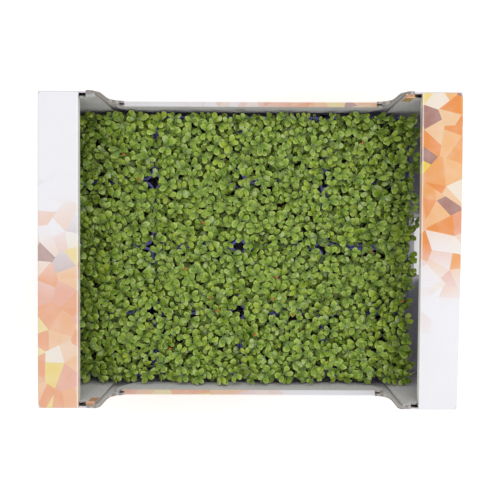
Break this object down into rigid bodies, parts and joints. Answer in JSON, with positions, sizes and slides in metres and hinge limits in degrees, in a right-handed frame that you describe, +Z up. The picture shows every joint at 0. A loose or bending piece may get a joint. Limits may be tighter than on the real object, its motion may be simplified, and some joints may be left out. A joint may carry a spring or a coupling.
{
  "type": "microgreens tray",
  "caption": "Open board crop carton with high ledged ends and low sides, filled with a grid of blue plastic cups of living daikon cress seedlings.",
  "frame": {"origin": "middle of the carton's underside", "axes": "+X along the 400 mm length, +Y along the 300 mm width, +Z up"},
  "size_m": [0.4, 0.3, 0.114],
  "materials": {
    "grey_board": "matt uncoated grey inside, coated white and printed outside",
    "blue_plastic": "satin moulded blue-violet plastic",
    "growing_fibre": "damp brown fibre mat",
    "cress_green": "smooth living leaf, satin"
  },
  "bodies": {
    "root": {"carton": "grey_board", "cup_01": "blue_plastic", "cup_02": "blue_plastic", "cup_03": "blue_plastic", "cup_04": "blue_plastic", "cup_05": "blue_plastic", "cup_06": "blue_plastic", "cup_07": "blue_plastic", "cup_08": "blue_plastic", "cup_09": "blue_plastic", "cup_10": "blue_plastic", "cup_11": "blue_plastic", "cup_12": "blue_plastic", "cup_13": "blue_plastic", "cup_14": "blue_plastic", "cup_15": "blue_plastic", "cup_16": "blue_plastic", "pad_01": "growing_fibre", "pad_02": "growing_fibre", "pad_03": "growing_fibre", "pad_04": "growing_fibre", "pad_05": "growing_fibre", "pad_06": "growing_fibre", "pad_07": "growing_fibre", "pad_08": "growing_fibre", "pad_09": "growing_fibre", "pad_10": "growing_fibre", "pad_11": "growing_fibre", "pad_12": "growing_fibre", "pad_13": "growing_fibre", "pad_14": "growing_fibre", "pad_15": "growing_fibre", "pad_16": "growing_fibre", "cress_01": "cress_green", "cress_02": "cress_green", "cress_03": "cress_green", "cress_04": "cress_green", "cress_05": "cress_green", "cress_06": "cress_green", "cress_07": "cress_green", "cress_08": "cress_green", "cress_09": "cress_green", "cress_10": "cress_green", "cress_11": "cress_green", "cress_12": "cress_green", "cress_13": "cress_green", "cress_14": "cress_green", "cress_15": "cress_green", "cress_16": "cress_green"}
  },
  "joints": []
}
